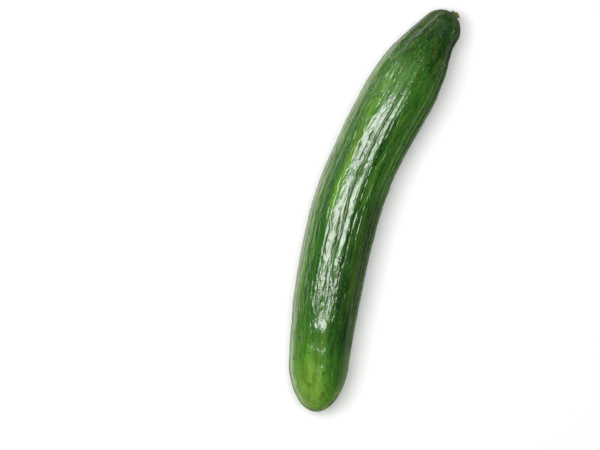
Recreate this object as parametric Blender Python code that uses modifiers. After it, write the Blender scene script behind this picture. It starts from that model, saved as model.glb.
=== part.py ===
"""A long salad cucumber lying on its side: the fruit and the cut stub of its stem.

Metres, +Z up. The blossom end points to -X, the stem end to +X, and the fruit bows towards +Y.
The origin is the bottom centre of the whole cucumber's box.
"""

import math

import bmesh
import bpy
import numpy as np
from mathutils import Matrix, Vector

# Driving dimensions.
LENGTH = 0.302              # tip to tip, along X
RIB_COUNT = 10              # shallow ridges that run the length of the fruit
RIB_DEPTH = 0.0008          # from groove floor to ridge top, along the body
SHOULDER_RIB_DEPTH = 0.0013  # the same where the fruit narrows towards its stem
RIB_PHASE = math.radians(27.0)  # a ridge's angle from straight up, towards +Y
STEM_DIAMETER = 0.0052      # the stub's waist
STEM_FLARE = 1.18           # how much wider its foot is
STEM_LENGTH = 0.0024        # foot to cut face, along its middle
STEM_CUT_SLOPE = 0.5        # rise of the slanted cut across the stub
STEM_CUT_FACING = math.radians(35.0)  # the way the cut leans: from straight up, towards +Y
STEM_RIDGE = 0.07           # depth of its five ridges, as a share of its radius
STEM_RIDGE_COUNT = 5
GAP = 0.0003                # clearance between the stub's foot and the fruit

# Stations along the spine, blossom end first: share of the spine, then the spine's X, Y and Z
# and the girth's radius there, as shares of LENGTH.
STATIONS = (
    (0.00, -0.501, -0.058, 0.076, 0.069),
    (0.10, -0.402, -0.032, 0.071, 0.070),
    (0.25, -0.252, 0.000, 0.078, 0.078),
    (0.40, -0.101, 0.021, 0.081, 0.081),
    (0.50, 0.000, 0.027, 0.082, 0.082),
    (0.60, 0.100, 0.022, 0.081, 0.081),
    (0.75, 0.250, -0.001, 0.084, 0.084),
    (0.86, 0.357, -0.023, 0.077, 0.073),
    (0.95, 0.441, -0.046, 0.071, 0.049),
    (1.00, 0.491, -0.069, 0.070, 0.042),
)

# How each end closes: share of the spine that it takes, and how blunt it is.
BLOSSOM_CLOSE = 0.11
BLOSSOM_BLUNTNESS = 1.8
STEM_CLOSE = 0.035
STEM_BLUNTNESS = 2.0

# Where the ribs have faded in from the blossom tip, and where they deepen towards the stem.
RIBS_FULL_FROM = 0.10
SHOULDER_FROM = 0.72
SHOULDER_FULL = 0.92

# Mesh density.
SIDES = 60
RINGS = 50
STEM_SIDES = 30
STEM_EDGE_ROUNDING = 0.0004


def natural_spline(knots, values, at):
    """Values of the natural cubic spline through (knots, values) at the given places."""
    step = np.diff(knots)
    size = len(knots)
    system = np.eye(size)
    right = np.zeros_like(values)
    for i in range(1, size - 1):
        system[i, i - 1:i + 2] = step[i - 1], 2 * (step[i - 1] + step[i]), step[i]
        slope_change = (values[i + 1] - values[i]) / step[i] - (values[i] - values[i - 1]) / step[i - 1]
        right[i] = 6 * slope_change
    bend = np.linalg.solve(system, right)
    k = np.clip(np.searchsorted(knots, at) - 1, 0, size - 2)
    before = (at - knots[k])[:, None]
    after = (knots[k + 1] - at)[:, None]
    gap = step[k][:, None]
    cubic = (bend[k + 1] * before ** 3 + bend[k] * after ** 3) / (6 * gap)
    linear = (values[k + 1] / gap - bend[k + 1] * gap / 6) * before
    return cubic + linear + (values[k] / gap - bend[k] * gap / 6) * after


def smooth_step(value, low, high):
    """0 below low, 1 above high, and an even S-curve between."""
    t = np.clip((value - low) / (high - low), 0.0, 1.0)
    return t * t * (3 - 2 * t)


def closing(share, bluntness):
    """The rounding of an end: 0 at its tip, rising to 1 where it meets the body."""
    return np.sqrt(1 - (1 - np.clip(share, 0.0, 1.0)) ** bluntness)


def spine_frame(u):
    """Centre, tangent, sideways and upward directions and girth radius at each share u."""
    table = np.array(STATIONS)
    knots, values = table[:, 0], table[:, 1:] * LENGTH
    here = natural_spline(knots, values, u)
    nudge = 1e-4
    ahead = natural_spline(knots, values, np.clip(u + nudge, 0, 1))
    behind = natural_spline(knots, values, np.clip(u - nudge, 0, 1))
    tangent = ahead[:, :3] - behind[:, :3]
    tangent /= np.linalg.norm(tangent, axis=1, keepdims=True)
    sideways = np.cross([0.0, 0.0, 1.0], tangent)
    sideways /= np.linalg.norm(sideways, axis=1, keepdims=True)
    upward = np.cross(tangent, sideways)
    return here[:, :3], tangent, sideways, upward, here[:, 3]


def section_radius(u, angle, girth):
    """Distance from the spine to the skin at share u and an angle from straight up, towards +Y."""
    ends = closing(u / BLOSSOM_CLOSE, BLOSSOM_BLUNTNESS) * closing((1 - u) / STEM_CLOSE, STEM_BLUNTNESS)
    shoulder = smooth_step(u, SHOULDER_FROM, SHOULDER_FULL)
    depth = RIB_DEPTH + (SHOULDER_RIB_DEPTH - RIB_DEPTH) * shoulder
    depth = depth * smooth_step(u, 0.0, RIBS_FULL_FROM) * smooth_step(1 - u, 0.0, STEM_CLOSE)
    return girth * ends + depth / 2 * np.cos(RIB_COUNT * (angle - RIB_PHASE))


def material(name, colour, roughness):
    """A Principled BSDF material."""
    made = bpy.data.materials.new(name)
    made.use_nodes = True
    shader = made.node_tree.nodes["Principled BSDF"]
    shader.inputs["Base Color"].default_value = (*colour, 1.0)
    shader.inputs["Roughness"].default_value = roughness
    shader.inputs["Metallic"].default_value = 0.0
    return made


def add_object(name, bm, collection, surface):
    """An object in the collection from a finished bmesh, with its faces pointing out."""
    bmesh.ops.recalc_face_normals(bm, faces=bm.faces)
    mesh = bpy.data.meshes.new(name)
    bm.to_mesh(mesh)
    bm.free()
    mesh.materials.append(surface)
    made = bpy.data.objects.new(name, mesh)
    collection.objects.link(made)
    return made


def make_fruit(collection):
    """A sphere whose rings are strung along the spine and swollen to the ribbed section."""
    bm = bmesh.new()
    bmesh.ops.create_uvsphere(bm, u_segments=SIDES, v_segments=RINGS, radius=1.0)
    ball = np.array([vert.co for vert in bm.verts])
    u = np.clip((1 + ball[:, 2]) / 2, 0.0, 1.0)
    angle = np.arctan2(ball[:, 1], ball[:, 0])
    centre, _, sideways, upward, girth = spine_frame(u)
    radius = section_radius(u, angle, girth)[:, None]
    outward = np.cos(angle)[:, None] * upward + np.sin(angle)[:, None] * sideways
    for vert, place in zip(bm.verts, centre + radius * outward):
        vert.co = place
    green_skin = material("cucumber_skin", (0.062, 0.215, 0.027), 0.32)
    fruit = add_object("fruit", bm, collection, green_skin)
    fruit.data.shade_smooth()
    return fruit


def make_stem(collection):
    """The stub of the stem: a ridged, flared stump with a slanted cut, on the fruit's tip."""
    waist = STEM_DIAMETER / 2
    bm = bmesh.new()
    bmesh.ops.create_cone(
        bm, cap_ends=True, segments=STEM_SIDES, radius1=waist * STEM_FLARE, radius2=waist, depth=STEM_LENGTH)
    for vert in bm.verts:
        ridge = 1 + STEM_RIDGE * math.cos(STEM_RIDGE_COUNT * math.atan2(vert.co.y, vert.co.x))
        vert.co.x *= ridge
        vert.co.y *= ridge
        if vert.co.z > 0:
            lean = vert.co.x * math.cos(STEM_CUT_FACING) + vert.co.y * math.sin(STEM_CUT_FACING)
            vert.co.z -= STEM_CUT_SLOPE * lean
    tip, tangent, sideways, upward, _ = (row[0] for row in spine_frame(np.array([1.0])))
    foot = Vector(tip) + Vector(tangent) * (GAP + STEM_LENGTH / 2)
    turn = Matrix((upward, sideways, tangent)).transposed()
    bmesh.ops.transform(bm, matrix=Matrix.Translation(foot) @ turn.to_4x4(), verts=bm.verts)
    olive_stem = material("cut_stem", (0.190, 0.240, 0.022), 0.6)
    stem = add_object("stem", bm, collection, olive_stem)
    rounding = stem.modifiers.new("edge_rounding", "BEVEL")
    rounding.width = STEM_EDGE_ROUNDING
    rounding.segments = 2
    stem.data.shade_smooth()
    stem.data.set_sharp_from_angle(angle=math.radians(50))
    return stem


def centre_on_origin(pieces):
    """Move the pieces together so that the origin is the bottom centre of their box."""
    points = np.array([vert.co for piece in pieces for vert in piece.data.vertices])
    low, high = points.min(axis=0), points.max(axis=0)
    shift = Matrix.Translation((-(low[0] + high[0]) / 2, -(low[1] + high[1]) / 2, -low[2]))
    for piece in pieces:
        piece.data.transform(shift)


def main():
    for leftover in list(bpy.data.objects):
        bpy.data.objects.remove(leftover)
    collection = bpy.data.collections.new("cucumber")
    bpy.context.scene.collection.children.link(collection)
    centre_on_origin([make_fruit(collection), make_stem(collection)])


main()
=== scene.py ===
"""The looks of a long salad cucumber: its ribbed, warty skin and the cut stub of its stem.

Metres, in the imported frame: +X towards the stem end, +Y towards the bowed-out side, +Z up.
Angles around the fruit run from straight up towards +Y.
"""

import math

import bpy
import numpy as np
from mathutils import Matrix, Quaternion, Vector


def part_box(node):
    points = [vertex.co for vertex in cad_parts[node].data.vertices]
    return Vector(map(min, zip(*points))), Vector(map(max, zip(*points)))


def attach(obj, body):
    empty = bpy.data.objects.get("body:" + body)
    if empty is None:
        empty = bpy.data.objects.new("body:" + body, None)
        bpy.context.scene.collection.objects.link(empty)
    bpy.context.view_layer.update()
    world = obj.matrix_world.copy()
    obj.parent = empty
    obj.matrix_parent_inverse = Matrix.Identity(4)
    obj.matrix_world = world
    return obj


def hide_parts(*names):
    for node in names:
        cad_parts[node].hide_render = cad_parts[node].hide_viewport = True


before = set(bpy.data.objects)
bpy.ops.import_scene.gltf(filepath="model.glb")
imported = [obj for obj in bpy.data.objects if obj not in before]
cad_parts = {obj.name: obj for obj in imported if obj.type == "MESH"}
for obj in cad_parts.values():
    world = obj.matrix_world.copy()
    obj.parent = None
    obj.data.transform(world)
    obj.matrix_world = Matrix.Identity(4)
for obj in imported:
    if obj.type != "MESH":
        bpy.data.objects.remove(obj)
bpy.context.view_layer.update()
SEED = 7
MM = 0.001

# The smooth fruit, blossom end first: share of the spine, then the spine's X, Y and Z and the
# girth's radius there, as shares of the length. It is the CAD fruit's own shape.
STATIONS = (
    (0.00, -0.501, -0.058, 0.076, 0.069),
    (0.10, -0.402, -0.032, 0.071, 0.070),
    (0.25, -0.252, 0.000, 0.078, 0.078),
    (0.40, -0.101, 0.021, 0.081, 0.081),
    (0.50, 0.000, 0.027, 0.082, 0.082),
    (0.60, 0.100, 0.022, 0.081, 0.081),
    (0.75, 0.250, -0.001, 0.084, 0.084),
    (0.86, 0.357, -0.023, 0.077, 0.073),
    (0.95, 0.441, -0.046, 0.071, 0.049),
    (1.00, 0.491, -0.069, 0.070, 0.042),
)
BLOSSOM_CLOSE = 0.11        # share of the spine over which the blossom end closes
BLOSSOM_BLUNTNESS = 1.8
STEM_CLOSE = 0.035
STEM_BLUNTNESS = 2.0

# Mesh of the skin.
RINGS = 272
COLUMNS = 364
FINE_STEPS = 6001           # places along the spine that the rings are spaced out by
UNWRAPPED = "OFBake"        # name of each mesh's unwrapped sheet

# Broad ribs, as in the CAD model but shallower.
RIB_COUNT = 10
RIB_DEPTH = 0.35 * MM
SHOULDER_RIB_DEPTH = 1.1 * MM
RIB_PHASE = math.radians(27.0)
SHOULDER_FROM, SHOULDER_FULL = 0.72, 0.92

# Shares of the spine over which all relief fades in from each tip.
BLOSSOM_RELIEF_FADE = 0.08
STEM_RELIEF_FADE = 0.04

# Furrows that run lengthwise. Each is a row of stations: share of the spine, angle in degrees,
# and depth compared with a usual one. These are the ones that show on top.
FURROWS = (
    ((0.20, 1.0, 0.0), (0.25, -0.5, 1.8), (0.31, 0.5, 2.3), (0.37, 3.5, 2.4), (0.42, 0.0, 2.8),
     (0.50, 3.0, 2.8), (0.58, 2.0, 2.8), (0.66, 0.5, 2.8), (0.78, -0.5, 1.9), (0.92, 1.0, 0.0)),
    ((0.36, 6.5, 0.0), (0.40, 3.5, 1.4), (0.44, 6.5, 1.6), (0.51, 8.5, 0.0)),
    ((0.22, 9.5, 0.0), (0.26, 9.0, 1.6), (0.32, 7.0, 1.3), (0.36, 11.0, 0.0)),
    ((0.54, 10.0, 0.0), (0.60, 8.0, 1.2), (0.68, 8.5, 1.3), (0.76, 9.5, 0.0)),
    ((0.24, -5.5, 0.0), (0.29, -4.0, 1.3), (0.34, -1.5, 0.0)),
    ((0.66, 23.0, 0.0), (0.74, 21.5, 1.0), (0.82, 21.0, 1.6), (0.92, 21.0, 1.0), (0.98, 20.0, 0.0)),
    ((0.10, 21.0, 0.0), (0.25, 22.0, 0.4), (0.45, 23.0, 0.5), (0.65, 21.0, 0.0)),
    ((0.22, -12.0, 0.0), (0.30, -12.5, 0.5), (0.38, -15.0, 1.2), (0.46, -17.0, 1.6),
     (0.53, -15.0, 0.8), (0.70, -12.0, 0.5), (0.88, -10.0, 0.0)),
    ((0.36, -27.0, 0.0), (0.42, -26.5, 1.2), (0.52, -26.0, 0.6), (0.75, -26.0, 0.9), (0.95, -27.0, 0.0)),
    ((0.40, 36.0, 0.0), (0.60, 34.0, 0.8), (0.80, 33.0, 1.3), (0.97, 31.0, 0.0)),
    ((0.08, -38.0, 0.0), (0.30, -37.0, 0.6), (0.70, -40.0, 0.8), (0.95, -42.0, 0.0)),
    ((0.10, 46.0, 0.0), (0.40, 48.0, 0.7), (0.95, 47.0, 0.0)),
    ((0.10, -53.0, 0.0), (0.35, -53.0, 1.8), (0.60, -52.0, 1.8), (0.80, -54.0, 2.6), (0.985, -55.0, 0.0)),
    ((0.05, -66.0, 0.0), (0.30, -65.0, 2.2), (0.60, -66.0, 2.2), (0.85, -68.0, 2.4), (0.985, -70.0, 0.0)),
    ((0.05, -81.0, 0.0), (0.40, -80.0, 2.2), (0.75, -82.0, 2.2), (0.985, -84.0, 0.0)),
    ((0.15, 63.0, 0.0), (0.50, 61.0, 0.9), (0.92, 62.0, 0.0)),
)
FURROW_DEPTH = 0.36 * MM
FURROW_WIDTH = 1.0 * MM     # how fast the crease itself flattens out
FURROW_WAVES = ((41.0, 0.45), (97.0, 0.315))  # how often it wanders, and how far in degrees
DIP_DEPTH = 0.16 * MM
DIP_WIDTH = 2.6 * MM        # half width of the dip around it

# More furrows, spread over the sides and the underside between two angles in degrees, each in a
# slot of its own: the part of the slot where it may lie, the ranges of the shares of the spine where
# it starts and ends and of its depth, and how many degrees it strays.
HIDDEN_FURROWS = 13
HIDDEN_FROM, HIDDEN_TO = 76.0, 270.0
HIDDEN_SLOT = (0.2, 0.8)
HIDDEN_START = (0.04, 0.30)
HIDDEN_END = (0.80, 0.98)
HIDDEN_DEPTH = (0.5, 1.5)
HIDDEN_STRAY = 2.0

# Warts: the scars of the prickles that the young fruit has. These few are on top, given by share
# of the spine and angle in degrees; the others are scattered, closer together at the stem end.
WARTS_ON_TOP = (
    (0.763, -2.5), (0.745, 9.0), (0.690, 17.0), (0.593, 10.5), (0.585, 15.0), (0.565, 14.0),
    (0.555, -5.0), (0.526, 16.5), (0.495, -6.0), (0.470, 13.0), (0.425, -7.5), (0.357, -6.0),
    (0.349, -12.0), (0.140, 22.0),
)
WART_COUNT = 300            # at most
WART_TRIES = 6              # places tried for each of them
WART_RANGE = (0.03, 0.975)  # shares of the spine between which they lie
WART_GAP = 6.5 * MM         # least distance between two of them at the stem end
WART_SPREAD = 2.0           # how many times that it is at the blossom end
USUAL_GIRTH = 0.08          # the body's radius as a share of the length, to measure that gap
WART_RADIUS = 0.95 * MM
WART_VARIATION = (0.6, 1.25)  # the smallest and the largest compared with that
WART_HEIGHT = 0.13 * MM
WART_MOAT = 0.09 * MM       # depth of the moat around it

# The rest is in a wart's own radii: spread of its dome, middle and width of its moat, where it
# ends, and how fast the distance that its material reads grows beyond that.
DOME_SPREAD = 0.75
MOAT_MIDDLE, MOAT_WIDTH = 1.5, 0.6
WART_END = 3.0
WART_END_SLOPE = 4.0

# Low swellings on top: share of the spine, angle in degrees, half length, half width and height.
SWELLINGS = (
    (0.192, 5.0, 4.2 * MM, 5.0 * MM, 0.60 * MM),
    (0.138, 1.0, 3.6 * MM, 5.0 * MM, 0.55 * MM),
)

# Unevenness of the skin, coarse to fine: height, and number of cells along and around.
UNEVENNESS = (
    (0.20 * MM, 24, 14),
    (0.09 * MM, 60, 34),
    (0.04 * MM, 110, 110),
)

# Streaks of colour that run lengthwise: angle and half width in degrees, first and last share of
# the spine, and how much brighter (above 0) or darker (below 0) they are. The broad dark ones on
# the -Y side are partly the skin's own deeper green and partly painted shade on the side away from the
# light.
STREAKS_AND_SIDE_SHADE = (
    (27.0, 4.5, 0.45, 0.80, 0.55),
    (24.0, 7.0, 0.20, 0.44, -0.20),
    (-3.0, 3.5, 0.04, 0.24, 0.45),
    (24.0, 9.0, 0.02, 0.16, 0.30),
    (9.0, 3.0, 0.74, 0.90, 0.20),
    (18.0, 2.5, 0.76, 0.92, 0.15),
    (-20.0, 5.0, 0.56, 0.90, -0.10),
    (-25.0, 2.0, 0.50, 0.70, 0.30),
    (-40.0, 9.0, 0.48, 0.90, -0.15),
    (-47.0, 2.0, 0.55, 0.85, 0.35),
    # These broad dark streaks on the -Y side are partly deeper green skin and partly painted shade.
    (-33.0, 14.0, 0.03, 0.50, -0.45),
    (-52.0, 10.0, 0.05, 0.50, -0.45),
    (-14.0, 3.0, 0.25, 0.75, -0.35),
    (-31.0, 3.0, 0.50, 0.90, -0.25),
    (40.0, 6.0, 0.30, 0.62, -0.15),
)
STREAK_SWAY = 0.3           # how far a streak sways, compared with its half width
STREAK_WAVES = 11.0         # how often it does
STREAK_FADE_IN, STREAK_FADE_OUT = 0.04, 0.05
STREAK_STRENGTH = 0.8

# The skin's colours.
DEEP_GREEN = (0.009, 0.042, 0.006)
MID_GREEN = (0.032, 0.127, 0.014)
BRIGHT_GREEN = (0.082, 0.234, 0.020)
YELLOW_GREEN = (0.180, 0.340, 0.042)
OLIVE_GREEN = (0.066, 0.122, 0.013)
PALE_TIP = (0.300, 0.420, 0.160)
SCAR_BROWN = (0.150, 0.120, 0.050)

# The greens that deep green turns into as a place's level of brightness rises, and between which
# levels each takes over.
GREENS = (
    ((0.66, 1.20), MID_GREEN),
    ((1.10, 1.63), BRIGHT_GREEN),
    ((1.48, 2.00), YELLOW_GREEN),
)

# The patterns that add up to that level: size of their cells along and around, detail and share.
GREEN_PATTERNS = (
    ((70 * MM, 6 * MM), 2.0, 0.35),
    ((26 * MM, 1.5 * MM), 3.0, 1.00),
    ((9 * MM, 6 * MM), 3.0, 0.50),
    ((2.4 * MM, 1.5 * MM), 3.0, 0.60),
)
BLOSSOM_LEVEL, BLOSSOM_LEVEL_REACH = 0.60, (8 * MM, 80 * MM)
STEM_LEVEL, STEM_LEVEL_REACH = -0.42, (30 * MM, 80 * MM)

# Other patterns in the skin: size of their cells along and around.
OLIVE_CELL = (55 * MM, 4 * MM)
WRINKLE_CELL = (10 * MM, 1.6 * MM)
PIT_CELL = (1.6 * MM, 1.1 * MM)
GLOSS_CELL = (9 * MM, 5 * MM)
CRACK_CELL = (12 * MM, 2.7 * MM)
CRACK_PATCH = (14 * MM, 5 * MM)
CRACK_BEND_CELL = (2.5 * MM, 2.5 * MM)
SPECK_CELL = (2.3 * MM, 2.3 * MM)
SPECK_CLUSTER = (18 * MM, 9 * MM)

# Cracks: how far they are bent out of their lines, how wide they are in cells, how deep they are at
# least outside the patches, and how deep near the blossom end and in the stem half, with the
# distances from the blossom tip over which that changes.
CRACK_BEND = 0.8 * MM
CRACK_BORDER = (0.03, 0.27)
CRACK_LEAST = 0.30
CRACKS_AT_BLOSSOM, CRACKS_BLOSSOM_REACH = 0.3, (45 * MM, 85 * MM)
CRACKS_AT_STEM, CRACKS_STEM_REACH = 0.9, (120 * MM, 190 * MM)

# Specks: how wide they are in cells, how strong at least outside the clusters, and how strong away
# from the stem end, with the distances from it over which that changes.
SPECK_BORDER = (0.08, 0.22)
SPECK_LEAST = 0.1
SPECKS_AWAY, SPECKS_REACH = 0.12, (60 * MM, 120 * MM)

# How much of its colour each feature shows. The crease and wart-moat shares lay painted shade, dark green
# where those hollows fall in shade. A wart's pale tip shows most by the stem end.
OLIVE_SHARE = 0.45
CREASE_PAINTED_SHADE = 0.35
WART_MOAT_PAINTED_SHADE = 0.75
WART_TIP_SHARES, WART_TIP_REACH = (0.8, 0.25), (45 * MM, 110 * MM)
SPECK_SHARE = 0.75
SCAR_SHARE = 0.85
SCAR_BORDER = (2.2 * MM, 3.4 * MM)  # distance from the blossom tip where the scar ends

# The skin's fine relief.
WRINKLE_HEIGHT = 0.14 * MM
PIT_HEIGHT = 0.08 * MM
CRACK_DEPTH = 0.20 * MM
SPECK_HEIGHT = 0.08 * MM
WART_TIP_HEIGHT = 0.12 * MM

# The skin's gloss: roughness in its shiniest and dullest patches, and what the stem end adds.
SHINY, DULL = 0.14, 0.20
STEM_DULLNESS, STEM_DULLNESS_REACH = 0.20, (15 * MM, 50 * MM)
WAX_IOR = 1.5
WAX_SPECULAR = 0.80

# The stub of the stem.
STUB_SIDES = 60
STUB_RIDGES = 5
STUB_RIDGE_DEPTH = 0.08     # as a share of its radius
STUB_CUT_SLOPE = 0.62
STUB_CUT_FACING = math.radians(35.0)
STUB_ROOT = 2.2 * MM        # how far its foot reaches into the fruit
STUB_TILT = math.radians(-48.0)  # how far it leans off the fruit's own line, towards -Y
STUB_WAIST_SHARE = 0.66     # its waist compared with the CAD stub's foot
STUB_LENGTH_SHARE = 0.66    # its length compared with the CAD stub's box
STUB_FLARE_SHARE = 0.75     # share of its length over which the foot narrows to the waist
STUB_BARK_RINGS = 14
STUB_FACE_RINGS = (0.94, 0.86, 0.7, 0.5, 0.3, 0.12, 0.0)  # compared with the waist
STUB_HOLLOW = 0.12          # depth of the cut face's hollow, compared with the waist
STUB_FACE_RISE = 0.05 * MM  # how far the face stands past the end of the bark
FIBRE_CELL = (3 * MM, 0.5 * MM)
FIBRE_HEIGHT = 0.15 * MM
GRAIN_CELL = (0.6 * MM, 0.6 * MM)
GRAIN_HEIGHT = 0.08 * MM
STALK_GREEN = (0.150, 0.190, 0.020)
STALK_OLIVE = (0.075, 0.095, 0.014)
CUT_FLESH = (0.420, 0.450, 0.060)
CUT_RIM = (0.200, 0.220, 0.035)

# Camera, from straight above.
LENS = 100.0
SENSOR = 36.0
CAMERA_PLACE = (-0.0291, 0.0347, 1.218)
CAMERA_TURN = math.radians(-71.31)

# The floor and the wall around it. They glow faintly by the fruit and strongly far from it: how
# much, and between which distances from it that grows.
STAGE_REACH = 6.0
STAGE_HEIGHT = 6.0
STAGE_SIDES = 96
FLOOR_WHITE = (0.94, 0.94, 0.94)
GLOW_WHITE = (1.0, 1.0, 1.0)
FLOOR_ROUGHNESS = 0.9
FLOOR_SPECULAR = 0.1
NEAR_GLOW, FAR_GLOW = 0.06, 0.90
GLOW_FROM, GLOW_FULL = 0.2, 1.1

# The shadow right under the fruit, which its gloss shows: half widths where it is full and where
# it ends, how far it runs on past the tips, its height above the floor, and how many rings of the
# skin lie between two of its cross lines.
SHADOW_CORE = 0.020
SHADOW_EDGE = 0.036
SHADOW_OVERRUN = 0.030
SHADOW_RISE = 0.6 * MM
SHADOW_STEP = 12
SHADOW_GREEN = (0.010, 0.020, 0.008)

# Softboxes: place of the middle, the point that it faces, size along X, size across, and brightness.
SOFTBOXES = (
    ("overhead_softbox", (-0.030, 0.17, 1.05), (0.0, 0.0, 0.03), 0.44, 0.96, 10.0),
    ("shoulder_softbox", (0.47, 0.12, 1.05), (0.1, 0.0, 0.03), 0.52, 0.80, 0.6),
    ("streak_softbox", (0.700, 0.96, 0.68), (0.08, 0.0, 0.05), 0.34, 0.15, 11.0),
    ("side_softbox", (0.25, 1.10, 0.14), (0.0, 0.0, 0.03), 0.60, 0.26, 0.8),
)

# The surround's brightness on the -Y and +Y sides, just above the floor and below it, and overhead.
# The floor isn't reflected, so what the skin reflects from below is the surround and the shadow.
DARK_WALL, PALE_WALL = 0.02, 0.12
DARK_BASE, PALE_BASE = 0.30, 1.85
CEILING = 0.04
STUDIO_TINT = (1.0, 1.0, 0.86)

# Where it changes from one to the other: the direction's Y for the sides, and its Z for the rest.
WALL_BLEND = (-0.7, 0.3)
BASE_BLEND = (0.0, 0.7)
CEILING_BLEND = (0.02, 0.35)
FLOOR_BLEND = (-0.42, -0.08)


def natural_spline(knots, values, at):
    """Values of the natural cubic spline through (knots, values) at the given places."""
    step = np.diff(knots)
    size = len(knots)
    system = np.eye(size)
    right = np.zeros_like(values)
    for i in range(1, size - 1):
        system[i, i - 1:i + 2] = step[i - 1], 2 * (step[i - 1] + step[i]), step[i]
        slope_change = (values[i + 1] - values[i]) / step[i] - (values[i] - values[i - 1]) / step[i - 1]
        right[i] = 6 * slope_change
    bend = np.linalg.solve(system, right)
    k = np.clip(np.searchsorted(knots, at) - 1, 0, size - 2)
    before = (at - knots[k])[:, None]
    after = (knots[k + 1] - at)[:, None]
    gap = step[k][:, None]
    cubic = (bend[k + 1] * before ** 3 + bend[k] * after ** 3) / (6 * gap)
    linear = (values[k + 1] / gap - bend[k + 1] * gap / 6) * before
    return cubic + linear + (values[k] / gap - bend[k] * gap / 6) * after


def smooth_step(value, low, high):
    """0 below low, 1 above high, and an even S-curve between."""
    t = np.clip((value - low) / (high - low), 0.0, 1.0)
    return t * t * (3 - 2 * t)


def closing(share, bluntness):
    """The rounding of an end: 0 at its tip, rising to 1 where it meets the body."""
    return np.sqrt(1 - (1 - np.clip(share, 0.0, 1.0)) ** bluntness)


def bell(away, spread):
    """1 in the middle, falling off evenly to both sides."""
    return np.exp(-0.5 * (away / spread) ** 2)


def wrapped(angle):
    """The same angle, between -pi and pi."""
    return (angle + np.pi) % (2 * np.pi) - np.pi


def around(count):
    """Evenly spaced angles around the fruit or the stub, the first one underneath."""
    return 2 * np.pi * np.arange(count) / count + np.pi


def ring_values(values, columns):
    """A value for each ring as a field over the grid of rings and columns."""
    return np.repeat(np.asarray(values)[:, None], columns, axis=1)


def unit(rows):
    """Each row as a direction of length 1."""
    return rows / np.linalg.norm(rows, axis=1, keepdims=True)


def spine_frame(u, length):
    """Centre, tangent, sideways and upward directions and girth radius at each share u."""
    table = np.array(STATIONS)
    knots, values = table[:, 0], table[:, 1:] * length
    here = natural_spline(knots, values, u)
    nudge = 1e-4
    ahead = natural_spline(knots, values, np.clip(u + nudge, 0, 1))
    behind = natural_spline(knots, values, np.clip(u - nudge, 0, 1))
    tangent = unit(ahead[:, :3] - behind[:, :3])
    sideways = unit(np.cross([0.0, 0.0, 1.0], tangent))
    upward = np.cross(tangent, sideways)
    return here[:, :3], tangent, sideways, upward, here[:, 3]


def smooth_radius(u, girth):
    """Distance from the spine to the skin at share u, before any relief."""
    blossom = closing(u / BLOSSOM_CLOSE, BLOSSOM_BLUNTNESS)
    stem = closing((1 - u) / STEM_CLOSE, STEM_BLUNTNESS)
    return girth * blossom * stem


def even_shares(count, length):
    """Shares of the spine whose rings lie evenly along the skin from tip to tip, and their reach."""
    t = np.linspace(0.0, 1.0, FINE_STEPS)
    dense = (1 - np.cos(np.pi * t)) / 2
    centre, _, _, _, girth = spine_frame(dense, length)
    radius = smooth_radius(dense, girth)
    steps = np.hypot(np.linalg.norm(np.diff(centre, axis=0), axis=1), np.diff(radius))
    reach = np.concatenate([[0.0], np.cumsum(steps)])
    wanted = np.linspace(0.0, reach[-1], count)
    return np.interp(wanted, reach, dense), wanted


def cell_noise(rng, u, angle, cells_along, cells_around):
    """Smooth noise between -1 and 1 over the skin, with the given number of cells each way."""
    grid = rng.uniform(-1.0, 1.0, (cells_along + 2, cells_around))
    x = u * cells_along
    y = (angle / (2 * np.pi) % 1.0) * cells_around
    i, j = x.astype(int), y.astype(int)
    a, b = smooth_step(x - i, 0, 1), smooth_step(y - j, 0, 1)
    j = j % cells_around
    k = (j + 1) % cells_around
    near = grid[i, j] * (1 - b) + grid[i, k] * b
    far = grid[i + 1, j] * (1 - b) + grid[i + 1, k] * b
    return near * (1 - a) + far * a


def broad_ribs(u, angle):
    """Height of the broad ribs, which are deeper on the shoulder."""
    shoulder = smooth_step(u, SHOULDER_FROM, SHOULDER_FULL)
    depth = RIB_DEPTH + (SHOULDER_RIB_DEPTH - RIB_DEPTH) * shoulder
    return depth / 2 * np.cos(RIB_COUNT * (angle - RIB_PHASE))


def all_furrows(rng):
    """The furrows on top and seeded ones over the rest of the fruit."""
    furrows = list(FURROWS)
    for i in range(HIDDEN_FURROWS):
        slot = i + rng.uniform(*HIDDEN_SLOT)
        angle = HIDDEN_FROM + (HIDDEN_TO - HIDDEN_FROM) * slot / HIDDEN_FURROWS
        first, last = rng.uniform(*HIDDEN_START), rng.uniform(*HIDDEN_END)
        depths = [0.0, *rng.uniform(*HIDDEN_DEPTH, 3), 0.0]
        angles = [angle + rng.uniform(-HIDDEN_STRAY, HIDDEN_STRAY) for _ in depths]
        furrows.append(list(zip(np.linspace(first, last, len(depths)), angles, depths)))
    return furrows


def furrow_lines(rng, u, angle, radius):
    """How deep the furrows' creases and dips are at each place, each 1 at a usual furrow's middle."""
    crease = np.zeros_like(u)
    dip = np.zeros_like(u)
    shares = u[:, 0]
    for stations in all_furrows(rng):
        table = np.array(stations)
        knots = table[:, 0]
        line = natural_spline(knots, table[:, 1:], np.clip(shares, knots[0], knots[-1]))
        phases = rng.uniform(0, 2 * np.pi, len(FURROW_WAVES))
        waves = (far * np.sin(rate * shares + phase) for (rate, far), phase in zip(FURROW_WAVES, phases))
        middle = np.radians(line[:, 0] + sum(waves))[:, None]
        depth = np.clip(line[:, 1], 0.0, None)[:, None]
        away = wrapped(angle - middle) * radius
        crease += depth * np.exp(-np.abs(away) / FURROW_WIDTH)
        dip += depth * bell(away, DIP_WIDTH)
    return crease, dip


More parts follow.
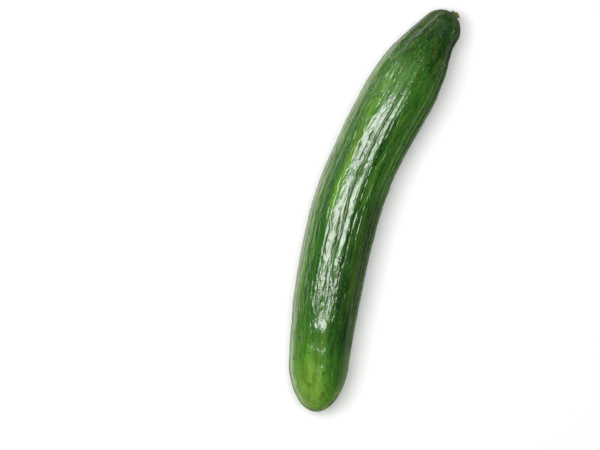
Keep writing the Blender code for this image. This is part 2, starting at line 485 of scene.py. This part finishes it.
def wart_places(rng, length):
    """Distance along the spine, angle and radius of every wart."""
    usual_radius = USUAL_GIRTH * length
    placed = [(share * length, math.radians(degrees)) for share, degrees in WARTS_ON_TOP]
    for _ in range(WART_COUNT * WART_TRIES):
        at, turn = rng.uniform(*WART_RANGE) * length, rng.uniform(-np.pi, np.pi)
        gap = WART_GAP * (WART_SPREAD + (1 - WART_SPREAD) * at / length)
        if all(math.hypot(at - x, wrapped(turn - y) * usual_radius) > gap for x, y in placed):
            placed.append((at, turn))
    radii = WART_RADIUS * rng.uniform(*WART_VARIATION, len(placed))
    return np.column_stack([placed, radii])[:WART_COUNT]


def nearest_wart(places, along, angle, radius):
    """Offset along and around from the nearest wart, in that wart's radii."""
    best = np.full(along.shape, np.inf)
    offset = np.zeros(along.shape + (2,))
    for at, turn, size in places:
        x = (along - at) / size
        y = wrapped(angle - turn) * radius / size
        distance = x * x + y * y
        closer = distance < best
        best = np.where(closer, distance, best)
        offset[closer] = np.stack([x, y], axis=-1)[closer]
    return offset


def wart_height(distance):
    """A low dome with a shallow moat around it."""
    dome = np.exp(-(distance / DOME_SPREAD) ** 2)
    moat = np.exp(-((distance - MOAT_MIDDLE) / MOAT_WIDTH) ** 2)
    return WART_HEIGHT * dome - WART_MOAT * moat


def swelling_height(along, angle, radius, length):
    """Height of the swellings at each place."""
    height = np.zeros_like(along)
    for share, degrees, half_length, half_width, top in SWELLINGS:
        ahead = along - share * length
        aside = wrapped(angle - math.radians(degrees)) * radius
        height += top * bell(ahead, half_length) * bell(aside, half_width)
    return height


def unevenness(rng, u, angle):
    """Height of the skin's unevenness at each place."""
    return sum(height * cell_noise(rng, u, angle, *cells) for height, *cells in UNEVENNESS)


def streak_and_side_shade_tint(rng, u, angle):
    """How much brighter or darker the streaks of colour, and the painted shade on the -Y side, make each
    place.
    """
    tint = np.zeros_like(u)
    for degrees, width, first, last, strength in STREAKS_AND_SIDE_SHADE:
        phase = rng.uniform(0, 2 * np.pi)
        middle = np.radians(degrees + STREAK_SWAY * width * np.sin(STREAK_WAVES * u + phase))
        begun = smooth_step(u, first - STREAK_FADE_IN, first + STREAK_FADE_IN)
        over = smooth_step(u, last - STREAK_FADE_OUT, last + STREAK_FADE_OUT)
        tint += strength * begun * (1 - over) * bell(wrapped(angle - middle), np.radians(width))
    return tint


def grid_mesh(name, points):
    """A closed, unwrapped mesh from rings of points, with a point at each tip."""
    rings, columns = points.shape[:2]
    inner = points[1:-1].reshape(-1, 3)
    verts = np.concatenate([points[:1, 0], inner, points[-1:, 0]])
    last = len(verts) - 1
    faces, corners = [], []
    for j in range(columns):
        k = (j + 1) % columns
        faces.append((0, 1 + k, 1 + j))
        corners.append(((j + 0.5, 0), (j + 1, 1), (j, 1)))
        for i in range(rings - 3):
            a, b = 1 + i * columns, 1 + (i + 1) * columns
            faces.append((a + j, a + k, b + k, b + j))
            corners.append(((j, i + 1), (j + 1, i + 1), (j + 1, i + 2), (j, i + 2)))
        a = 1 + (rings - 3) * columns
        faces.append((last, a + j, a + k))
        corners.append(((j + 0.5, rings - 1), (j, rings - 2), (j + 1, rings - 2)))
    mesh = bpy.data.meshes.new(name)
    mesh.from_pydata(verts.tolist(), [], faces)
    flat = np.array([corner for face in corners for corner in face], float)
    flat /= (columns, rings - 1)
    layer = mesh.uv_layers.new(name=UNWRAPPED)
    layer.data.foreach_set("uv", flat.astype(np.float32).ravel())
    mesh.shade_smooth()
    return mesh


def add_field(mesh, name, field):
    """Keep a field over the grid as the mesh's attribute, for its material."""
    inner = field[1:-1].reshape((-1,) + field.shape[2:])
    values = np.concatenate([field[:1, 0], inner, field[-1:, 0]]).astype(np.float32)
    if values.ndim == 1:
        made = mesh.attributes.new(name, "FLOAT", "POINT")
        made.data.foreach_set("value", values)
    else:
        made = mesh.attributes.new(name, "FLOAT_VECTOR", "POINT")
        made.data.foreach_set("vector", values.ravel())


def add_object(name, data):
    """A new object in the scene."""
    made = bpy.data.objects.new(name, data)
    bpy.context.scene.collection.objects.link(made)
    return made


def fruit_length():
    """The length that the stations are shares of, from the CAD fruit's box."""
    low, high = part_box("fruit")
    centre = spine_frame(np.array([0.0, 1.0]), 1.0)[0]
    return (high.x - low.x) / np.ptp(centre[:, 0])


def fruit_shift(points):
    """The move that sets the skin in the CAD fruit's box: centred along and across, on its bottom."""
    low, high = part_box("fruit")
    own_low, own_high = points.reshape(-1, 3).min(axis=0), points.reshape(-1, 3).max(axis=0)
    middle = (Vector(own_low) + Vector(own_high)) / 2
    return np.array([(low.x + high.x) / 2 - middle.x, (low.y + high.y) / 2 - middle.y, low.z - own_low[2]])


def make_skin(length):
    """The fruit's skin, and its spine: places, directions along it and directions up."""
    rng = np.random.default_rng(SEED)
    shares, reach = even_shares(RINGS, length)
    u, angle = np.meshgrid(shares, around(COLUMNS), indexing="ij")
    centre, tangent, sideways, upward, girth = spine_frame(shares, length)
    radius = ring_values(smooth_radius(shares, girth), COLUMNS)
    along = u * length

    crease, dip = furrow_lines(rng, u, angle, radius)
    offset = nearest_wart(wart_places(rng, length), along, angle, radius)
    distance = np.linalg.norm(offset, axis=-1)
    lift = broad_ribs(u, angle) - FURROW_DEPTH * crease - DIP_DEPTH * dip
    lift += unevenness(rng, u, angle) + swelling_height(along, angle, radius, length)
    lift += wart_height(distance)
    faded_in = smooth_step(u, 0.0, BLOSSOM_RELIEF_FADE) * smooth_step(1 - u, 0.0, STEM_RELIEF_FADE)

    outward = np.cos(angle)[..., None] * upward[:, None] + np.sin(angle)[..., None] * sideways[:, None]
    points = centre[:, None] + (radius + lift * faded_in)[..., None] * outward
    shift = fruit_shift(points)
    mesh = grid_mesh("cucumber_skin", points + shift)
    beyond = np.maximum(distance - WART_END, 0.0) * WART_END_SLOPE
    add_field(mesh, "straight", np.stack([along, radius * np.cos(angle), radius * np.sin(angle)], axis=-1))
    add_field(mesh, "wart", np.concatenate([offset, beyond[..., None]], axis=-1))
    add_field(mesh, "crease", crease * faded_in)
    add_field(mesh, "tint", streak_and_side_shade_tint(rng, u, angle))
    add_field(mesh, "from_blossom", ring_values(reach, COLUMNS))
    add_field(mesh, "from_stem", ring_values(reach[-1] - reach, COLUMNS))
    return add_object("cucumber_skin", mesh), centre + shift, tangent, upward


class Graph:
    """Short ways to add and join the nodes of one material, or of the world."""

    # A colour mix node's sockets by number, because the names repeat.
    MIX_SHARE, MIX_FIRST, MIX_SECOND, MIX_RESULT = 0, 6, 7, 2

    def __init__(self, owner, shader="Principled BSDF"):
        owner.use_nodes = True
        self.owner = owner
        self.tree = owner.node_tree
        self.shader = self.tree.nodes[shader]

    def node(self, kind, **settings):
        made = self.tree.nodes.new(kind)
        for key, value in settings.items():
            setattr(made, key, value)
        return made

    def join(self, source, target):
        """Link a socket to the target, or set the target to a plain number or an opaque colour."""
        if isinstance(source, bpy.types.NodeSocket):
            self.tree.links.new(source, target)
        elif isinstance(source, tuple):
            target.default_value = (*source, 1.0)
        else:
            target.default_value = source

    def shade(self, **sources):
        """Join a source to each of the shader's inputs, named with _ for a space."""
        for name, source in sources.items():
            self.join(source, self.shader.inputs[name.replace("_", " ")])

    def attribute(self, name, output="Fac"):
        return self.node("ShaderNodeAttribute", attribute_name=name).outputs[output]

    def combined(self, operation, values):
        result = values[0]
        for value in values[1:]:
            made = self.node("ShaderNodeMath", operation=operation)
            self.join(result, made.inputs[0])
            self.join(value, made.inputs[1])
            result = made.outputs[0]
        return result

    def total(self, *values):
        return self.combined("ADD", values)

    def product(self, *values):
        return self.combined("MULTIPLY", values)

    def weighted(self, *pairs):
        """The sum of values that each have a weight."""
        return self.total(*(self.product(value, weight) for value, weight in pairs))

    def ramp(self, value, source, target=(0.0, 1.0), curve="SMOOTHSTEP"):
        """The value taken from one range to another, along an S-curve unless the call says otherwise."""
        made = self.node("ShaderNodeMapRange", interpolation_type=curve)
        limits = zip(("From Min", "From Max", "To Min", "To Max"), (*source, *target))
        for name, limit in (("Value", value), *limits):
            self.join(limit, made.inputs[name])
        return made.outputs["Result"]

    def mix(self, share, first, second):
        """From the first colour to the second as share goes from 0 to 1."""
        made = self.node("ShaderNodeMix", data_type="RGBA")
        self.join(share, made.inputs[self.MIX_SHARE])
        self.join(first, made.inputs[self.MIX_FIRST])
        self.join(second, made.inputs[self.MIX_SECOND])
        return made.outputs[self.MIX_RESULT]

    def texture(self, kind, vector, cell, **settings):
        """A texture whose cells have the given size along and around."""
        along, across = cell
        stretched = self.node("ShaderNodeVectorMath", operation="MULTIPLY")
        self.join(vector, stretched.inputs[0])
        stretched.inputs[1].default_value = (1 / along, 1 / across, 1 / across)
        made = self.node(kind, **settings)
        self.join(stretched.outputs[0], made.inputs["Vector"])
        made.inputs["Scale"].default_value = 1.0
        return made

    def noise(self, vector, cell, detail=2.0):
        """Noise between 0 and 1."""
        made = self.texture("ShaderNodeTexNoise", vector, cell)
        made.inputs["Detail"].default_value = detail
        return made.outputs["Fac"]

    def cells(self, vector, cell, feature):
        """Distance from the nearest border between cells, or from the nearest cell's middle, in cells."""
        return self.texture("ShaderNodeTexVoronoi", vector, cell, feature=feature).outputs["Distance"]

    def warped(self, vector, cell, amount):
        """Coordinates pushed about by noise, by up to the given amount in metres."""
        noise = self.texture("ShaderNodeTexNoise", vector, cell)
        push = self.node("ShaderNodeVectorMath", operation="MULTIPLY_ADD")
        self.join(noise.outputs["Color"], push.inputs[0])
        push.inputs[1].default_value = (2 * amount,) * 3
        self.join(vector, push.inputs[2])
        return push.outputs[0]

    def length(self, vector):
        made = self.node("ShaderNodeVectorMath", operation="LENGTH")
        self.join(vector, made.inputs[0])
        return made.outputs["Value"]

    def bump(self, height):
        """Bend the shader's normals by a height in metres."""
        made = self.node("ShaderNodeBump")
        made.inputs["Strength"].default_value = 1.0
        made.inputs["Distance"].default_value = 1.0
        self.join(height, made.inputs["Height"])
        self.shade(Normal=made.outputs["Normal"])


def skin_cracks(g, straight):
    """Fine cracks in the wax, in patches: 1 in their middles. They fade towards the blossom end."""
    crooked = g.warped(straight, CRACK_BEND_CELL, CRACK_BEND)
    net = g.ramp(g.cells(crooked, CRACK_CELL, "DISTANCE_TO_EDGE"), CRACK_BORDER, (1.0, 0.0))
    patches = g.ramp(g.noise(straight, CRACK_PATCH), (0.38, 0.58), (CRACK_LEAST, 1.0))
    from_blossom = g.attribute("from_blossom")
    stem_half = g.ramp(from_blossom, CRACKS_STEM_REACH, (1.0, CRACKS_AT_STEM))
    blossom_end = g.ramp(from_blossom, CRACKS_BLOSSOM_REACH, (CRACKS_AT_BLOSSOM, 1.0))
    return g.product(net, patches, stem_half, blossom_end)


def skin_specks(g, straight):
    """Tiny pale specks, thick on the shoulder at the stem end: 1 in their middles."""
    dots = g.ramp(g.cells(straight, SPECK_CELL, "F1"), SPECK_BORDER, (1.0, 0.0))
    clusters = g.ramp(g.noise(straight, SPECK_CLUSTER), (0.42, 0.60), (SPECK_LEAST, 1.0))
    shoulder = g.ramp(g.attribute("from_stem"), SPECKS_REACH, (1.0, SPECKS_AWAY))
    return g.product(dots, clusters, shoulder)


def skin_greens(g, straight):
    """Greens in lengthwise streaks, yellower at the blossom end and darker at the stem end, with some
    painted shade in the dark streaks on the -Y side.
    """
    patterns = [(g.noise(straight, cell, detail), share) for cell, detail, share in GREEN_PATTERNS]
    streaks = g.weighted(*patterns, (g.attribute("tint"), STREAK_STRENGTH))
    blossom = g.ramp(g.attribute("from_blossom"), BLOSSOM_LEVEL_REACH, (BLOSSOM_LEVEL, 0.0))
    stem = g.ramp(g.attribute("from_stem"), STEM_LEVEL_REACH, (STEM_LEVEL, 0.0))
    level = g.total(streaks, blossom, stem)
    colour = DEEP_GREEN
    for levels, green in GREENS:
        colour = g.mix(g.ramp(level, levels), colour, green)
    olive = g.ramp(g.noise(straight, OLIVE_CELL), (0.48, 0.66), (0.0, OLIVE_SHARE))
    return g.mix(olive, colour, OLIVE_GREEN)


def skin_colour(g, straight, speck, wart):
    """The greens, with painted shade in the creases and in the moats around the warts, pale specks and a
    brown scar.
    """
    colour = skin_greens(g, straight)
    # Painted shade: dark green laid into the creases.
    colour = g.mix(g.ramp(g.attribute("crease"), (0.3, 1.6), (0.0, CREASE_PAINTED_SHADE)), colour, DEEP_GREEN)
    # Painted shade: a dark green ring over each wart's moat.
    ring = g.product(g.ramp(wart, (0.5, 0.8)), g.ramp(wart, (1.1, 1.8), (WART_MOAT_PAINTED_SHADE, 0.0)))
    colour = g.mix(ring, colour, DEEP_GREEN)
    tip = g.ramp(wart, (0.1, 0.5), (1.0, 0.0))
    paleness = g.ramp(g.attribute("from_stem"), WART_TIP_REACH, WART_TIP_SHARES)
    colour = g.mix(g.product(tip, paleness), colour, PALE_TIP)
    colour = g.mix(g.product(speck, SPECK_SHARE), colour, PALE_TIP)
    scar = g.ramp(g.attribute("from_blossom"), SCAR_BORDER, (SCAR_SHARE, 0.0))
    return g.mix(scar, colour, SCAR_BROWN)


def skin_height(g, straight, crack, speck, wart):
    """Fine relief in metres: wrinkles, pits, cracks, specks and the warts' tips."""
    return g.weighted(
        (g.noise(straight, WRINKLE_CELL, 4.0), WRINKLE_HEIGHT),
        (g.noise(straight, PIT_CELL), PIT_HEIGHT),
        (crack, -CRACK_DEPTH),
        (speck, SPECK_HEIGHT),
        (g.ramp(wart, (0.2, 0.9)), -WART_TIP_HEIGHT),
    )


def skin_roughness(g, straight):
    """Waxy gloss in patches, duller at the stem end."""
    patches = g.ramp(g.noise(straight, GLOSS_CELL, 3.0), (0.35, 0.7), (SHINY, DULL))
    stem_end = g.ramp(g.attribute("from_stem"), STEM_DULLNESS_REACH, (STEM_DULLNESS, 0.0))
    return g.total(patches, stem_end)


def skin_material():
    """Glossy waxed green skin."""
    g = Graph(bpy.data.materials.new("cucumber_skin"))
    straight = g.attribute("straight", "Vector")
    wart = g.length(g.attribute("wart", "Vector"))
    crack, speck = skin_cracks(g, straight), skin_specks(g, straight)
    g.shade(
        Base_Color=skin_colour(g, straight, speck, wart),
        Roughness=skin_roughness(g, straight),
        IOR=WAX_IOR,
        Specular_IOR_Level=WAX_SPECULAR,
    )
    g.bump(skin_height(g, straight, crack, speck, wart))
    return g.owner


def stub_material():
    """Olive bark with fibres along it, and a paler, grainy cut face."""
    g = Graph(bpy.data.materials.new("cucumber_stem"))
    place = g.attribute("straight", "Vector")
    fibres = g.noise(place, FIBRE_CELL, 3.0)
    grain = g.noise(place, GRAIN_CELL, 3.0)
    bark = g.mix(g.ramp(fibres, (0.35, 0.65)), STALK_OLIVE, STALK_GREEN)
    flesh = g.mix(g.ramp(grain, (0.35, 0.65)), CUT_RIM, CUT_FLESH)
    g.shade(
        Base_Color=g.mix(g.ramp(g.attribute("face"), (0.2, 0.8)), bark, flesh),
        Roughness=g.ramp(grain, (0.3, 0.7), (0.45, 0.7)),
    )
    g.bump(g.weighted((fibres, FIBRE_HEIGHT), (grain, GRAIN_HEIGHT)))
    return g.owner


def make_stub(centre, tangent, upward):
    """The cut stub: a ridged stalk that flares into the fruit, with a slanted, slightly hollow face."""
    low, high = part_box("stem")
    foot = (high.z - low.z) / 2
    waist = foot * STUB_WAIST_SHARE
    tall = (high.x - low.x) * STUB_LENGTH_SHARE
    turn = around(STUB_SIDES)
    ridge = STUB_RIDGE_DEPTH * np.cos(STUB_RIDGES * turn)
    slant = STUB_CUT_SLOPE * waist * np.cos(turn - STUB_CUT_FACING)
    root = np.zeros(STUB_SIDES)
    rings, heights = [root], [root - STUB_ROOT]
    for share in np.linspace(0.0, 1.0, STUB_BARK_RINGS):
        flare = 1 - smooth_step(share, 0.0, STUB_FLARE_SHARE)
        rings.append((waist + (foot - waist) * flare) * (1 + ridge))
        heights.append(-STUB_ROOT + (tall + STUB_ROOT) * share - slant * share)
    for share in STUB_FACE_RINGS:
        hollow = STUB_HOLLOW * waist * (1 - share ** 2)
        rings.append(waist * share * (1 + ridge * share))
        heights.append(tall + STUB_FACE_RISE - hollow - slant * share)
    radius, height = np.array(rings), np.array(heights)
    straight = np.stack([height, radius * np.cos(turn), radius * np.sin(turn)], axis=-1)

    up = Vector(upward[-1])
    out = Quaternion(up, STUB_TILT) @ Vector(tangent[-1])
    mesh = grid_mesh("cucumber_stem", centre[-1] + straight @ np.array([out, up, up.cross(out)]))
    on_face = np.arange(len(rings)) > STUB_BARK_RINGS
    add_field(mesh, "straight", straight)
    add_field(mesh, "face", ring_values(on_face, STUB_SIDES))
    return add_object("cucumber_stem", mesh)


def finish_piece(piece, surface, node):
    """Give a piece its material and its place in the table, and hide the CAD node that it stands for."""
    piece.data.materials.append(surface)
    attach(piece, "root")
    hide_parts(node)


def add_stage(name, verts, faces, surface, unseen_by):
    """A piece of the set around the fruit, which isn't part of it, and which some rays don't see."""
    mesh = bpy.data.meshes.new(name)
    mesh.from_pydata(verts, [], faces)
    mesh.materials.append(surface)
    made = add_object(name, mesh)
    for rays in unseen_by:
        setattr(made, f"visible_{rays}", False)
    return made


def glowing_white(name):
    """Matt white that glows away from the fruit, to stay as pale as an evenly lit studio."""
    g = Graph(bpy.data.materials.new(name))
    distance = g.length(g.node("ShaderNodeTexCoord").outputs["Object"])
    g.shade(
        Base_Color=FLOOR_WHITE,
        Roughness=FLOOR_ROUGHNESS,
        Specular_IOR_Level=FLOOR_SPECULAR,
        Emission_Color=GLOW_WHITE,
        Emission_Strength=g.ramp(distance, (GLOW_FROM, GLOW_FULL), (NEAR_GLOW, FAR_GLOW)),
    )
    return g.owner


def make_floor():
    """A round pale floor under the fruit, and a pale wall around it that only the camera sees."""
    turns = 2 * np.pi * np.arange(STAGE_SIDES) / STAGE_SIDES
    foot = [(STAGE_REACH * math.cos(turn), STAGE_REACH * math.sin(turn), 0.0) for turn in turns]
    top = [(x, y, STAGE_HEIGHT) for x, y, _ in foot]
    sides = [(i, (i + 1) % STAGE_SIDES) for i in range(STAGE_SIDES)]
    walls = [(i, j, j + STAGE_SIDES, i + STAGE_SIDES) for i, j in sides]
    add_stage("floor", foot, [tuple(range(STAGE_SIDES))], glowing_white("pale_floor"), ["glossy"])
    unseen_by = ["glossy", "diffuse", "shadow"]
    add_stage("backdrop", foot + top, walls, glowing_white("pale_wall"), unseen_by)


def shadow_material():
    """A dark film that is as thick as the mesh's cover says."""
    g = Graph(bpy.data.materials.new("own_shadow"))
    g.shade(Base_Color=SHADOW_GREEN, Roughness=1.0, Alpha=g.attribute("cover"))
    return g.owner


def make_own_shadow(centre):
    """A dark strip with soft edges on the floor along the fruit, seen by nothing but the fruit's gloss."""
    line = centre[::SHADOW_STEP, :2]
    ahead = unit(np.gradient(line, axis=0))
    overrun = SHADOW_OVERRUN * ahead
    line = np.concatenate([line[:1] - overrun[:1], line, line[-1:] + overrun[-1:]])
    ahead = np.concatenate([ahead[:1], ahead, ahead[-1:]])
    aside = np.stack([-ahead[:, 1], ahead[:, 0]], axis=1)
    offsets = np.array([-SHADOW_EDGE, -SHADOW_CORE, SHADOW_CORE, SHADOW_EDGE])
    flat = line[:, None] + offsets[:, None] * aside[:, None]
    rows, columns = flat.shape[:2]
    verts = [(x, y, SHADOW_RISE) for x, y in flat.reshape(-1, 2)]
    firsts = [row * columns + column for row in range(rows - 1) for column in range(columns - 1)]
    faces = [(i, i + columns, i + columns + 1, i + 1) for i in firsts]
    cover = np.zeros((rows, columns), np.float32)
    cover[1:-1, 1:-1] = 1.0
    strip = add_stage("own_shadow", verts, faces, shadow_material(), ["camera", "diffuse", "shadow"])
    strip.data.attributes.new("cover", "FLOAT", "POINT").data.foreach_set("value", cover.ravel())


def add_softbox(name, centre, target, width, depth, radiance):
    """A rectangular light of even brightness that faces the target and isn't itself seen."""
    lamp = bpy.data.lights.new(name, "AREA")
    lamp.shape = "RECTANGLE"
    lamp.size, lamp.size_y = width, depth
    lamp.energy = radiance * math.pi * width * depth
    made = add_object(name, lamp)
    made.location = centre
    made.rotation_euler = (Vector(target) - Vector(centre)).to_track_quat("-Z", "Y").to_euler()
    made.visible_camera = False


def make_surround():
    """A dim studio, darker towards -Y and overhead, so that the skin stays clear and its far side pale."""
    g = Graph(bpy.data.worlds.new("studio"), "Background")
    direction = g.node("ShaderNodeSeparateXYZ")
    g.join(g.node("ShaderNodeTexCoord").outputs["Generated"], direction.inputs[0])
    across, upwards = direction.outputs["Y"], direction.outputs["Z"]
    wall = g.ramp(across, WALL_BLEND, (DARK_WALL, PALE_WALL), "LINEAR")
    base = g.ramp(across, BASE_BLEND, (DARK_BASE, PALE_BASE), "LINEAR")
    above = g.ramp(upwards, CEILING_BLEND, (wall, CEILING), "LINEAR")
    g.shade(Color=STUDIO_TINT, Strength=g.ramp(upwards, FLOOR_BLEND, (base, above), "LINEAR"))
    bpy.context.scene.world = g.owner


def make_lights():
    """A large softbox nearly overhead and smaller or dimmer ones around it, in a dim studio."""
    for softbox in SOFTBOXES:
        add_softbox(*softbox)
    make_surround()


def make_camera():
    """The camera, straight above the fruit."""
    lens = bpy.data.cameras.new("camera")
    lens.lens, lens.sensor_width = LENS, SENSOR
    made = add_object("camera", lens)
    made.location = CAMERA_PLACE
    made.rotation_euler = (0.0, 0.0, CAMERA_TURN)
    bpy.context.scene.camera = made


bpy.context.scene.view_settings.view_transform = "Standard"
make_camera()
make_lights()
make_floor()
skin, centre, tangent, upward = make_skin(fruit_length())
finish_piece(skin, skin_material(), "fruit")
finish_piece(make_stub(centre, tangent, upward), stub_material(), "stem")
make_own_shadow(centre)
